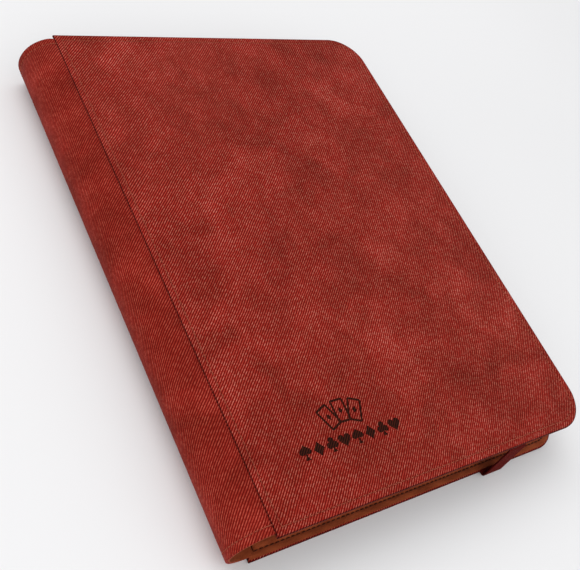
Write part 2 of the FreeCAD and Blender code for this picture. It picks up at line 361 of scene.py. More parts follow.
class Graph:
    """A small wrapper round one material's nodes."""

    # Where a Mix node of colours has its two inputs and its result.
    MIX_COLOURS = slice(6, 8)
    MIX_RESULT = 2

    def __init__(self, name: str) -> None:
        """Starts a material with a plain shader and an output.

        Args:
            name: The material's name.
        """
        self.material = bpy.data.materials.new(name)
        self.material.use_nodes = True
        self.tree = self.material.node_tree
        self.shader = self.tree.nodes["Principled BSDF"]

    def node(self, kind: str, **settings: object) -> bpy.types.Node:
        """Adds a node and sets its properties.

        Args:
            kind: The node's type, without its first word.
            **settings: Its properties.

        Returns:
            The node.
        """
        node = self.tree.nodes.new("ShaderNode" + kind)
        for key, value in settings.items():
            setattr(node, key, value)
        return node

    def feed(self, socket: Socket, value: object) -> None:
        """Links a socket to another node's output, or sets it to a value.

        Args:
            socket: What is fed.
            value: An output or a plain value.
        """
        if isinstance(value, Socket):
            self.tree.links.new(value, socket)
        else:
            socket.default_value = value

    def maths(self, operation: str, *values: object) -> Socket:
        """A Math node's result.

        Args:
            operation: What the node works out.
            *values: Outputs or plain numbers.

        Returns:
            The result.
        """
        node = self.node("Math", operation=operation)
        for socket, value in zip(node.inputs, values):
            self.feed(socket, value)
        return node.outputs[0]

    def split(self, place: Socket) -> tuple[Socket, Socket]:
        """The X and the Y of a place.

        Args:
            place: A vector.

        Returns:
            Its two outputs.
        """
        node = self.node("SeparateXYZ")
        self.feed(node.inputs[0], place)
        return node.outputs["X"], node.outputs["Y"]

    def wave(self, distance: Socket, pitch: float) -> Socket:
        """A sine that repeats every pitch, between -1 and 1."""
        return self.maths("SINE", self.maths("MULTIPLY", distance, 2 * math.pi / pitch))

    def remap(self, value: object, low: float, high: float,
              to_low: float, to_high: float) -> Socket:
        """A value moved from one range to another, kept inside it.

        Args:
            value: What is moved.
            low: Its range's start.
            high: Its range's end.
            to_low: The new range's start.
            to_high: The new range's end.

        Returns:
            The moved value.
        """
        node = self.node("MapRange")
        for index, item in enumerate((value, low, high, to_low, to_high)):
            self.feed(node.inputs[index], item)
        return node.outputs[0]

    def place(self, pattern: Pattern, turn: float = 0.0,
              scale: Colour = (1000.0, 1000.0, 1000.0)) -> Socket:
        """The piece's own coordinates, in millimetres unless scaled otherwise.

        Args:
            pattern: Object coordinates, or the map that follows the cloth.
            turn: Degrees that the pattern is turned about Z.
            scale: Units per metre on each axis.

        Returns:
            The place.
        """
        if pattern is Pattern.OBJECT_SPACE:
            source = self.node("TexCoord").outputs["Object"]
        else:
            source = self.node("UVMap", uv_map=pattern.value).outputs["UV"]
        mapping = self.node("Mapping")
        self.feed(mapping.inputs["Vector"], source)
        mapping.inputs["Rotation"].default_value = (0, 0, math.radians(turn))
        mapping.inputs["Scale"].default_value = scale
        return mapping.outputs["Vector"]

    def noise(self, vector: object, scale: float, detail: float = 2.0, rough: float = 0.5,
              warp: float = 0.0) -> Socket:
        """A noise texture's value, about 0.5.

        Args:
            vector: Where it is read.
            scale: Its features per unit.
            detail: Its finer layers.
            rough: How strong those are.
            warp: How much it swirls.

        Returns:
            The value.
        """
        node = self.node("TexNoise")
        self.feed(node.inputs["Vector"], vector)
        node.inputs["Scale"].default_value = scale
        node.inputs["Detail"].default_value = detail
        node.inputs["Roughness"].default_value = rough
        node.inputs["Distortion"].default_value = warp
        return node.outputs["Fac"]

    def ramp(self, value: object, stops: Stops) -> Socket:
        """A colour ramp through the stops.

        Args:
            value: Where on the ramp.
            stops: Each stop's place and colour.

        Returns:
            The colour.
        """
        node = self.node("ValToRGB")
        elements = node.color_ramp.elements
        for _ in stops[2:]:
            elements.new(0.5)
        for element, (place, colour) in zip(elements, stops):
            element.position = place
            element.color = self.opaque(colour)
        self.feed(node.inputs[0], value)
        return node.outputs[0]

    def mix(self, blend: str, share: object, first: object, second: object) -> Socket:
        """Two colours mixed; a plain colour is a tuple of three.

        Args:
            blend: How they are mixed.
            share: How much of the mix is taken.
            first: The colour below.
            second: The colour on top.

        Returns:
            The mixed colour.
        """
        node = self.node("Mix", data_type="RGBA", blend_type=blend)
        self.feed(node.inputs["Factor"], share)
        for socket, value in zip(node.inputs[self.MIX_COLOURS], (first, second)):
            self.feed(socket, self.opaque(value))
        return node.outputs[self.MIX_RESULT]

    @staticmethod
    def opaque(value: object) -> object:
        """A plain colour with full alpha, or anything else as it is."""
        return (*value, 1.0) if isinstance(value, tuple) else value

    def bump(self, height: object, depth: float, strength: float = 1.0) -> None:
        """Feeds the shader's normal from a height between 0 and 1.

        Args:
            height: The relief.
            depth: The relief's depth in metres.
            strength: How much of it shows.
        """
        node = self.node("Bump")
        node.inputs["Strength"].default_value = strength
        node.inputs["Distance"].default_value = depth
        self.feed(node.inputs["Height"], height)
        self.feed(self.shader.inputs["Normal"], node.outputs[0])

    def surface(self, colour: object, roughness: object, **uniform: object) -> Material:
        """Sets the shader's colour, its roughness and its uniform values.

        Args:
            colour: The base colour.
            roughness: The roughness.
            **uniform: Sockets, with their values.

        Returns:
            The material.
        """
        self.feed(self.shader.inputs["Base Color"], self.opaque(colour))
        self.feed(self.shader.inputs["Roughness"], roughness)
        for name, value in uniform.items():
            self.shader.inputs[name.replace("_", " ")].default_value = value
        return self.material


@dataclass(frozen=True)
class RibbedCloth:
    """Cloth with fine slanted ribs that break into dashes, painted shade in the grooves and
    painted highlight on the rib tops, and cloudy patches of lighter and darker tone.
    """

    name: str = "ribbed_cloth"
    pattern: Pattern = Pattern.OBJECT_SPACE
    rib_wander: float = 0.4
    dash_length: float = 3.6
    uneven_length: float = 2.2
    row_offset: float = 3.7
    patch_size: float = 38.0
    stains_per_patch: float = 2.6
    # The rib tones follow the rib's height: the darkest is painted shade in the grooves between
    # ribs, the two lighter ones are painted highlight on the rib tops, round the cloth's own red.
    painted_valley_shade: Colour = linear(94, 6, 2)
    cloth: Colour = linear(136, 24, 15)
    ridge: Colour = linear(160, 56, 43)
    painted_highlight: Colour = linear(188, 108, 92)
    relief: float = 0.22 * MM
    roughness: Pair = (0.86, 0.68)
    cloud_tints: Stops = ((0.3, (0.74, 0.74, 0.70)), (0.47, (0.95, 0.92, 0.90)),
                          (0.56, (1.06, 1.04, 1.04)), (0.72, (1.26, 1.42, 1.5)))
    stain_tints: Stops = ((0.36, (0.92, 0.92, 0.86)), (0.62, (1.08, 1.08, 1.1)))

    def material(self) -> Material:
        """Builds the cloth.

        Returns:
            The material.
        """
        graph = Graph(self.name)
        place = graph.place(self.pattern, turn=-RIB_SLANT)
        along_rib, across_ribs = graph.split(place)
        wander = graph.remap(graph.noise(place, 0.07, 2.0), 0.2, 0.8,
                             -self.rib_wander, self.rib_wander)
        across = graph.maths("DIVIDE", graph.maths("ADD", across_ribs, wander), RIB_PITCH)
        row = graph.maths("ROUND", across)
        from_ridge = graph.maths("ABSOLUTE", graph.maths("SUBTRACT", across, row))
        ridge = graph.remap(from_ridge, 0.1, 0.36, 1.0, 0.0)
        chance = graph.node("TexWhiteNoise", noise_dimensions="1D")
        graph.feed(chance.inputs["W"], row)
        along = graph.maths("ADD", graph.maths("DIVIDE", along_rib, self.dash_length),
                            chance.outputs["Value"])
        gap = graph.maths("ABSOLUTE", graph.maths("SUBTRACT", along, graph.maths("ROUND", along)))
        dash = graph.remap(gap, 0.02, 0.14, 0.65, 1.0)
        uneven_place = graph.node("CombineXYZ")
        graph.feed(uneven_place.inputs[0], graph.maths("DIVIDE", along_rib, self.uneven_length))
        graph.feed(uneven_place.inputs[1], graph.maths("MULTIPLY", row, self.row_offset))
        uneven = graph.remap(graph.noise(uneven_place.outputs[0], 1.0, 2.0), 0.28, 0.72, 0.55, 1.1)
        height = graph.maths("MULTIPLY", graph.maths("MULTIPLY", ridge, dash), uneven)
        # Painted shade in the rib grooves and painted highlight on the rib tops: the colour
        # follows the rib's height.
        weave = graph.ramp(height, ((0.0, self.painted_valley_shade), (0.3, self.cloth),
                                    (0.72, self.ridge), (1.0, self.painted_highlight)))
        cloud = graph.noise(place, 1.0 / self.patch_size, 5.0, 0.58, 0.5)
        cloudy = graph.ramp(cloud, self.cloud_tints)
        stained = graph.noise(place, self.stains_per_patch / self.patch_size, 3.0, 0.6, 0.3)
        stain = graph.ramp(stained, self.stain_tints)
        colour = graph.mix("MULTIPLY", 1.0, weave, cloudy)
        colour = graph.mix("MULTIPLY", 1.0, colour, stain)
        roughness = graph.remap(cloud, 0.3, 0.7, *self.roughness)
        graph.bump(height, self.relief)
        return graph.surface(colour, roughness, Specular_IOR_Level=0.06, Sheen_Weight=0.02,
                             Sheen_Roughness=0.45)


@dataclass(frozen=True)
class SuedeLining:
    """Brushed orange-brown lining."""

    name: str = "suede_lining"
    pattern: Pattern = Pattern.OBJECT_SPACE
    brush_turn: float = 20
    brush_scale: Triple = (90.0, 260.0, 90.0)
    nap_share: float = 0.45
    dark: Colour = linear(112, 46, 22)
    light: Colour = linear(160, 78, 44)
    relief: float = 0.12 * MM
    roughness: Pair = (0.95, 0.82)

    def material(self) -> Material:
        """Builds the lining.

        Returns:
            The material.
        """
        graph = Graph(self.name)
        place = graph.place(self.pattern)
        nap = graph.noise(place, 2.4, 4.0, 0.7)
        brushed = graph.place(self.pattern, turn=self.brush_turn, scale=self.brush_scale)
        stroke = graph.noise(brushed, 1.0, 4.0)
        both = graph.maths("ADD", graph.maths("MULTIPLY", nap, self.nap_share),
                           graph.maths("MULTIPLY", stroke, 1 - self.nap_share))
        colour = graph.ramp(both, ((0.34, self.dark), (0.62, self.light)))
        graph.bump(nap, self.relief, 0.6)
        return graph.surface(colour, graph.remap(nap, 0.3, 0.7, *self.roughness),
                             Specular_IOR_Level=0.05, Sheen_Weight=0.05, Sheen_Roughness=0.5)


@dataclass(frozen=True)
class SewingThread:
    """Twisted thread a shade off the cloth's own colour."""

    name: str = "sewing_thread"
    dark: Colour = linear(92, 20, 12)
    light: Colour = linear(186, 94, 72)
    twists: float = 1.1
    wobble: float = 1.5
    relief: float = 0.06 * MM
    roughness: Pair = (0.8, 0.65)

    def material(self) -> Material:
        """Builds the thread.

        Returns:
            The material.
        """
        graph = Graph(self.name)
        twist = graph.node("TexWave", wave_type="BANDS", bands_direction="DIAGONAL")
        graph.feed(twist.inputs["Vector"], graph.place(Pattern.OBJECT_SPACE))
        twist.inputs["Scale"].default_value = self.twists
        twist.inputs["Distortion"].default_value = self.wobble
        ply = twist.outputs["Fac"]
        colour = graph.ramp(ply, ((0.15, self.dark), (0.8, self.light)))
        graph.bump(ply, self.relief)
        return graph.surface(colour, graph.remap(ply, 0.0, 1.0, *self.roughness),
                             Specular_IOR_Level=0.1)


@dataclass(frozen=True)
class WovenElastic:
    """Dark red elastic with lengthwise cords and a fine cross weave."""

    name: str = "woven_elastic"
    cord_pitch: float = 1.35
    weft_pitch: float = 0.8
    cord_share: float = 0.7
    dark: Colour = linear(36, 3, 2)
    light: Colour = linear(118, 28, 22)
    relief: float = 0.25 * MM
    roughness: Pair = (0.9, 0.75)

    def material(self) -> Material:
        """Builds the elastic; its map runs across the strap, then along it.

        Returns:
            The material.
        """
        graph = Graph(self.name)
        place = graph.place(Pattern.ALONG_SURFACE)
        across, along = graph.split(place)
        cord = graph.wave(across, self.cord_pitch)
        weft = graph.wave(along, self.weft_pitch)
        woven = graph.maths("ADD", graph.remap(cord, -1.0, 1.0, 0.0, self.cord_share),
                            graph.remap(weft, -1.0, 1.0, 0.0, 1 - self.cord_share))
        wear = graph.noise(place, 0.6, 3.0)
        height = graph.maths("MULTIPLY", woven, graph.remap(wear, 0.3, 0.7, 0.75, 1.0))
        colour = graph.ramp(height, ((0.1, self.dark), (0.85, self.light)))
        graph.bump(height, self.relief)
        return graph.surface(colour, graph.remap(height, 0.0, 1.0, *self.roughness),
                             Specular_IOR_Level=0.03)


@dataclass(frozen=True)
class PocketFilm:
    """Clear film over a black sheet: glossy, with faint ripples and scuffs."""

    name: str = "pocket_film"
    tint: Colour = linear(26, 27, 30)
    haze: Colour = linear(46, 48, 52)
    scuff_turn: float = 31
    scuff_scale: Triple = (60.0, 900.0, 300.0)
    relief: float = 1.2 * MM
    roughness: Pair = (0.12, 0.3)

    def material(self) -> Material:
        """Builds the film.

        Returns:
            The material.
        """
        graph = Graph(self.name)
        place = graph.place(Pattern.OBJECT_SPACE)
        ripple = graph.noise(place, 0.03, 3.0, 0.5, 0.8)
        rubbed = graph.place(Pattern.OBJECT_SPACE, turn=self.scuff_turn, scale=self.scuff_scale)
        scuff = graph.noise(rubbed, 1.0, 5.0)
        colour = graph.ramp(scuff, ((0.4, self.tint), (0.75, self.haze)))
        graph.bump(ripple, self.relief, 0.5)
        return graph.surface(colour, graph.remap(scuff, 0.35, 0.7, *self.roughness),
                             Specular_IOR_Level=0.6, Coat_Weight=0.6, Coat_Roughness=0.08)


@dataclass(frozen=True)
class Plastic:
    """Moulded or rolled sheet plastic with a fine grain."""

    name: str
    colour: Colour
    lighter: Colour
    grain: float = 1.6
    roughness: Pair = (0.42, 0.58)
    relief: float = 0.05 * MM

    def material(self) -> Material:
        """Builds the plastic.

        Returns:
            The material.
        """
        graph = Graph(self.name)
        speckle = graph.noise(graph.place(Pattern.OBJECT_SPACE), self.grain, 4.0, 0.6)
        colour = graph.ramp(speckle, ((0.35, self.colour), (0.7, self.lighter)))
        graph.bump(speckle, self.relief, 0.6)
        return graph.surface(colour, graph.remap(speckle, 0.3, 0.7, *self.roughness),
                             Specular_IOR_Level=0.4)


@dataclass(frozen=True)
class StampedCloth:
    """Cloth pressed flat with a hot die: near black, with the ribs only just left."""

    name: str = "stamped_cloth"
    dark: Colour = linear(22, 6, 3)
    light: Colour = linear(70, 26, 14)
    relief: float = 0.08 * MM
    roughness: Pair = (0.7, 0.85)

    def material(self) -> Material:
        """Builds the stamped cloth.

        Returns:
            The material.
        """
        graph = Graph(self.name)
        place = graph.place(Pattern.OBJECT_SPACE, turn=-RIB_SLANT)
        rib = graph.wave(graph.split(place)[1], RIB_PITCH)
        blot = graph.noise(place, 0.5, 3.0)
        height = graph.maths("MULTIPLY", graph.remap(rib, -1.0, 1.0, 0.0, 1.0), blot)
        colour = graph.ramp(height, ((0.1, self.dark), (0.6, self.light)))
        graph.bump(height, self.relief)
        return graph.surface(colour, graph.remap(blot, 0.3, 0.7, *self.roughness),
                             Specular_IOR_Level=0.06)


@dataclass(frozen=True)
class StudioFloor:
    """A pale, matt studio sweep."""

    name: str = "studio_floor"
    pale: Colour = (0.80, 0.80, 0.81)
    paler: Colour = (0.84, 0.84, 0.85)
    roughness: float = 0.9

    def material(self) -> Material:
        """Builds the floor's paint.

        Returns:
            The material.
        """
        graph = Graph(self.name)
        tone = graph.noise(graph.place(Pattern.OBJECT_SPACE, scale=(1.0, 1.0, 1.0)), 1.5, 2.0)
        colour = graph.ramp(tone, ((0.3, self.pale), (0.7, self.paler)))
        return graph.surface(colour, self.roughness, Specular_IOR_Level=0.1)


def made(finish: RibbedCloth | SuedeLining | SewingThread | WovenElastic | PocketFilm | Plastic
         | StampedCloth) -> Material:
    """A dataclass field that holds a finish's material, built with the rest of its dataclass."""
    return field(default_factory=finish.material)


@dataclass
class Finishes:
    """Every finish of the binder, made once."""

    cover_cloth: Material = made(RibbedCloth("cover_cloth"))
    # Painted shade: a darker copy of the cover cloth for the rolled edge all round each cover,
    # where shade falls.
    cover_edge_painted_shade: Material = made(RibbedCloth(
        "cover_edge_painted_shade", painted_valley_shade=linear(44, 4, 2), cloth=linear(78, 14, 9), ridge=linear(104, 28, 20),
        painted_highlight=linear(128, 44, 34)))
    spine_cloth: Material = made(RibbedCloth(
        "spine_cloth", Pattern.ALONG_SURFACE, relief=0.16 * MM, cloth=linear(124, 28, 19),
        ridge=linear(148, 46, 33), painted_highlight=linear(172, 78, 62)))
    lining: Material = made(SuedeLining())
    spine_lining: Material = made(SuedeLining("spine_suede", Pattern.ALONG_SURFACE))
    thread: Material = made(SewingThread())
    dark_thread: Material = made(SewingThread(
        "dark_thread", linear(40, 14, 8), linear(88, 38, 22)))
    elastic: Material = made(WovenElastic())
    film: Material = made(PocketFilm())
    sheet: Material = made(Plastic("leaf_sheet", linear(20, 20, 22), linear(34, 34, 37)))
    binding: Material = made(Plastic(
        "binding_plastic", linear(24, 24, 26), linear(40, 40, 44), 0.9))
    board: Material = made(Plastic(
        "grey_board", linear(150, 146, 138), linear(176, 171, 160), 0.7, (0.85, 0.95)))
    foam: Material = made(Plastic(
        "foam_sheet", linear(120, 120, 124), linear(150, 150, 155), 2.2, (0.85, 0.95)))
    stamp: Material = made(StampedCloth())


# ---------------------------------------------------------------- the frame's own sizes


# The frame's gap between a cover and the spine's seam, and the thickness of its spine lining.
SEAM_GAP = 0.15 * MM
LINING_WALL = 0.5 * MM


@dataclass(frozen=True)
class Sizes:
    """Sizes that all the sub-assemblies share, read from the frame's own nodes."""

    seam_x: float
    back_edge_x: float
    front_edge_x: float
    half_height: float
    thickness: float
    spine_radius: float
    spine_inner_radius: float
    spine_half_length: float
    staves: int = 7
    corner_radius: float = 23 * MM

    @property
    def spine_centre_z(self) -> float:
        """Height of the half-round spine's axis."""
        return self.thickness / 2

    @property
    def stave_angle(self) -> float:
        """Degrees of the spine's half circle that one stave takes."""
        return 180.0 / self.staves

    @property
    def middle_stave(self) -> int:
        """The number of the stave that carries the binding block."""
        return (self.staves + 1) // 2


def read_sizes() -> Sizes:
    """Measures the frame.

    Returns:
        The sizes, in metres.
    """
    back_low, back_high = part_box("back_cover_skin")
    front_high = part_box("front_cover_skin")[1]
    spine_low, spine_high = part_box("spine_skin_4")
    lining_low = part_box("spine_lining_4")[0]
    seam_x = back_low.x - SEAM_GAP
    return Sizes(
        seam_x=seam_x,
        back_edge_x=back_high.x,
        front_edge_x=front_high.x,
        half_height=back_high.y,
        thickness=front_high.z,
        spine_radius=seam_x - spine_low.x,
        spine_inner_radius=seam_x - lining_low.x - LINING_WALL,
        spine_half_length=spine_high.y,
    )


# ---------------------------------------------------------------- covers


class Side(Enum):
    """Which of the two covers."""

    BACK = "back"
    FRONT = "front"


# A cover's section is a list of (inset from the edge, depth under the outer face), in mm.
Section = list[Pair]


@dataclass
class Cover:
    """A padded cover: cloth skin, suede lining and two rings of stitches."""

    side: Side
    sizes: Sizes
    cell: float = 7 * MM
    corner_segments: int = 20
    skin_start: Pair = (0.0, 1.0)
    lining_start: Pair = (1.0, 2.0)
    inner_start: float = 1.5
    skin_top: Section = field(default_factory=lambda: [
        (0.05, 0.5), (0.22, 0.24), (0.55, 0.12), (1.1, 0.07), (3.3, 0.12), (4.05, 0.24),
        (4.5, 0.6), (4.95, 0.24), (5.8, 0.1), (8.0, 0.03), (12.0, 0.0)])
    skin_return: Section = field(default_factory=lambda: [
        (0.15, 1.72), (0.5, 1.88), (1.1, 1.88), (5.2, 1.4), (6.0, 0.88)])
    lining_face: Section = field(default_factory=lambda: [
        (1.0, 2.05), (1.3, 2.18), (4.05, 2.2), (4.5, 2.0), (4.95, 2.22), (6.0, 3.05),
        (7.4, 3.42), (10.0, 3.56), (13.0, 3.6)])
    lining_back: Section = field(default_factory=lambda: [(5.4, 1.5), (6.05, 2.92)])
    stitch_inset: float = 4.5 * MM
    stitch_pitch: float = 3.4 * MM
    stitch_length: float = 2.6 * MM
    thread_radius: float = 0.36 * MM
    outer_thread_depth: float = 0.3
    inner_thread_depth: float = 2.3
    thread_edge_angle: float = 60.0
    # The folded edge's band of painted shade: its depths, and how far it reaches onto the face.
    edge_shade_band: Pair = (0.1, 1.95)
    edge_reach: float = 0.5 * MM
    # The cloth rises and falls this much, in waves this long, from this far inside the edge.
    ripple: float = 0.35 * MM
    ripple_length: float = 55 * MM
    ripple_margin: float = 8 * MM
    ripple_fade: float = 20 * MM
    board_depth: float = 0.9
    # The flat patch left for the mark: from the seam, and up from the bottom edge.
    stamped: tuple[Pair, Pair] = (
        (24 * MM, 108 * MM), (24 * MM, 68 * MM))

    @property
    def body(self) -> str:
        """The frame's body that the cover moves with."""
        return self.side.value + "_cover"

    @property
    def fore_edge(self) -> float:
        """X of the cover's fore-edge."""
        return self.sizes.front_edge_x if self.side is Side.FRONT else self.sizes.back_edge_x

    def height(self, depth: float) -> float:
        """Z of a depth in mm under this cover's outer face.

        Args:
            depth: In mm.

        Returns:
            The height.
        """
        if self.side is Side.FRONT:
            return self.sizes.thickness - depth * MM
        return depth * MM

    def outline(self, name: str, inset: float) -> Piece:
        """A flat panel facing up at height 0, with two round fore-edge corners.

        Args:
            name: The piece's name.
            inset: How far the outline is drawn in, in mm.

        Returns:
            The panel.
        """
        half = self.sizes.half_height - inset * MM
        low = (self.sizes.seam_x + inset * MM, -half)
        high = (self.fore_edge - inset * MM, half)
        panel = new_plane(name, low, high, 0.0)
        with editing(panel, "VERT"):
            pick_vertices(panel, lambda place: place.x > high[0] - MM)
            bpy.ops.mesh.bevel(offset=self.sizes.corner_radius - inset * MM,
                               segments=self.corner_segments, affect="VERTICES")
        return panel

    def shape(self, panel: Piece, start: Pair,
              outer: Section, inner: Section, inner_start: float) -> None:
        """Gives a flat panel its section by extruding it and insetting both faces again and again.

        Args:
            panel: The flat outline, facing up at height 0.
            start: The outline's inset and depth.
            outer: The section on the side that faces away from the board.
            inner: The section on the side that faces the board.
            inner_start: The inner face's depth at the outline.
        """
        outwards = 1.0 if inner_start > start[1] else -1.0
        with editing(panel):
            pick_all()
            extrude(0, 0, (start[1] - inner_start) * MM)
            pick_all()
            bpy.ops.mesh.normals_make_consistent(inside=False)
            for section, sign, first in ((outer, outwards, start),
                                         (inner, -outwards, (start[0], inner_start))):
                pick_faces(panel, lambda centre, normal, sign=sign: normal.z * sign > FACING)
                inset, depth = first
                for next_inset, next_depth in section:
                    bpy.ops.mesh.inset(thickness=(next_inset - inset) * MM,
                                       depth=(depth - next_depth) * sign * MM,
                                       use_even_offset=True)
                    inset, depth = next_inset, next_depth
        move_mesh(panel, (0, 0, -start[1] * MM))

    def finish(self, panel: Piece) -> None:
        """Moves a panel from height 0 to this cover, the back one turned over, and cuts it up.

        Args:
            panel: The shaped panel.
        """
        if self.side is Side.BACK:
            activate(panel)
            panel.scale = (1, 1, -1)
            settle(panel)
            face_outwards(panel)
        else:
            move_mesh(panel, (0, 0, self.sizes.thickness))
        half = self.sizes.half_height
        slice_along(panel, 0, spaced(self.sizes.seam_x, self.fore_edge, self.cell))
        slice_along(panel, 1, spaced(-half, half, self.cell))

    def undulate(self, panel: Piece) -> None:
        """Lets the cloth rise and fall a little over the padding, away from its edges.

        Args:
            panel: The finished panel.
        """
        margin = self.ripple_margin
        seam, edge, half = self.sizes.seam_x, self.fore_edge, self.sizes.half_height
        group = panel.vertex_groups.new(name="padding")
        middle = self.height(self.board_depth)
        (mark_left, mark_right), (mark_low, mark_high) = self.stamped
        for vertex in panel.data.vertices:
            x, y, z = vertex.co
            room = min(x - seam, edge - x, half - abs(y))
            if self.side is Side.FRONT:
                beside = max(seam + mark_left - x, x - seam - mark_right,
                             mark_low - half - y, y + half - mark_high)
                room = min(room, margin + max(0.0, beside))
            outer_side = z > middle if self.side is Side.FRONT else z < middle
            if room > margin and outer_side:
                group.add([vertex.index], min(1.0, (room - margin) / self.ripple_fade), "REPLACE")
        texture = bpy.data.textures.new(panel.name + "_ripple", "CLOUDS")
        texture.noise_scale = self.ripple_length
        texture.noise_depth = 2
        displace = panel.modifiers.new("ripple", "DISPLACE")
        displace.texture = texture
        displace.texture_coords = "LOCAL"
        displace.direction = "Z"
        displace.vertex_group = "padding"
        displace.mid_level = 1.0 if self.side is Side.FRONT else 0.0
        displace.strength = self.ripple
        apply_modifiers(panel)
        panel.vertex_groups.clear()

    def build_skin(self) -> Piece:
        """The outer cloth with its rolled edge, its stitched channel and its padded middle.

        Returns:
            The skin.
        """
        skin = self.outline(self.side.value + "_skin", self.skin_start[0])
        self.shape(skin, self.skin_start, self.skin_top, self.skin_return, self.inner_start)
        self.finish(skin)
        self.undulate(skin)
        smooth(skin, CLOTH_EDGE_ANGLE)
        return skin

    def shade_folded_edge(self, skin: Piece) -> None:
        """Gives the folded edge a darker copy of the cloth: painted shade where the cloth rolls
        round the edge and meets the seam.

        Args:
            skin: The cover's skin, dressed.
        """
        lower, upper = sorted(self.height(depth) for depth in self.edge_shade_band)
        half = self.sizes.half_height - self.edge_reach
        left, right = self.sizes.seam_x + self.edge_reach, self.fore_edge - self.edge_reach
        inner_radius = self.sizes.corner_radius - self.edge_reach
        for face in skin.data.polygons:
            x, y, z = face.center
            corner = Vector((x - (right - inner_radius), abs(y) - (half - inner_radius)))
            beyond = x < left or x > right or abs(y) > half
            round_the_corner = min(corner) > 0 and corner.length > inner_radius
            # Painted shade: the rolled edge's faces take the darker copy of the cloth.
            if lower <= z <= upper and (beyond or round_the_corner):
                face.material_index = 1

    def build_lining(self) -> Piece:
        """The inner cloth, pinched at its edge and stepped up over the board.

        Returns:
            The lining.
        """
        lining = self.outline(self.side.value + "_lining", self.lining_start[0])
        self.shape(lining, self.lining_start, self.lining_face, self.lining_back, self.inner_start)
        self.finish(lining)
        smooth(lining, CLOTH_EDGE_ANGLE)
        return lining

    def stitch_path(self, depth: float) -> Piece:
        """A closed curve along the stitching line.

        Args:
            depth: How deep it lies, in mm.

        Returns:
            The curve.
        """
        outline = self.outline(self.side.value + "_stitch_path", self.stitch_inset / MM)
        move_mesh(outline, (0, 0, self.height(depth)))
        with editing(outline):
            pick_all()
            bpy.ops.mesh.delete(type="ONLY_FACE")
        activate(outline)
        bpy.ops.object.convert(target="CURVE")
        return outline

    def build_stitches(self, name: str, depth: float) -> Piece:
        """A ring of stitches: one modelled stitch, repeated along the stitching line.

        Args:
            name: The piece's name.
            depth: How deep the thread's middle lies, in mm.

        Returns:
            The stitches.
        """
        path = self.stitch_path(depth)
        stitch = new_stitch(name, self.stitch_length, self.thread_radius)
        array = stitch.modifiers.new("row", "ARRAY")
        array.fit_type = "FIT_CURVE"
        array.curve = path
        array.use_relative_offset = False
        array.use_constant_offset = True
        array.constant_offset_displace = (self.stitch_pitch, 0, 0)
        follow = stitch.modifiers.new("follow", "CURVE")
        follow.object = path
        apply_modifiers(stitch)
        bpy.data.objects.remove(path)
        smooth(stitch, self.thread_edge_angle)
        return stitch

    def build(self, finishes: Finishes) -> list[Piece]:
        """Models and dresses the whole cover.

        Args:
            finishes: The binder's finishes.

        Returns:
            The cover's pieces.
        """
        prefix = self.side.value + "_cover_"
        skin = self.build_skin()
        # The second finish is painted shade for the rolled edge.
        dress(skin, finishes.cover_cloth, finishes.cover_edge_painted_shade)
        self.shade_folded_edge(skin)
        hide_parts(prefix + "skin", prefix + "hem")
        lining = self.build_lining()
        dress(lining, finishes.lining)
        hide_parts(prefix + "lining")
        outer = self.build_stitches(self.side.value + "_outer_stitches", self.outer_thread_depth)
        dress(outer, finishes.thread)
        inner = self.build_stitches(self.side.value + "_inner_stitches", self.inner_thread_depth)
        dress(inner, finishes.dark_thread)
        stitches = join(self.side.value + "_stitches", [outer, inner])
        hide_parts(prefix + "stitching")
        for piece in (skin, lining, stitches):
            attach(piece, self.body)
        return [skin, lining, stitches]


def new_stitch(name: str, length: float, radius: float) -> Piece:
    """One stitch lying along +X from the origin: a short thread, tapered where it dives in.

    Args:
        name: The piece's name.
        length: From end to end.
        radius: The thread's radius.

    Returns:
        The stitch.
    """
    straight, end_run, end_dip, end_taper = 0.6, 0.2, 0.4, 0.45
    deselect()
    bpy.ops.mesh.primitive_cylinder_add(vertices=6, radius=radius, depth=length * straight,
                                        rotation=(0, math.pi / 2, 0), location=(length / 2, 0, 0))
    stitch = bpy.context.object
    stitch.name = name
    settle(stitch)
    with editing(stitch):
        for end in (-1, 1):
            pick_faces(stitch, lambda centre, normal, end=end: normal.x * end > FACING)
            extrude(end * length * end_run, 0, -radius * end_dip)
            bpy.ops.transform.resize(value=(end_taper, end_taper, end_taper))
    return stitch


# ---------------------------------------------------------------- spine


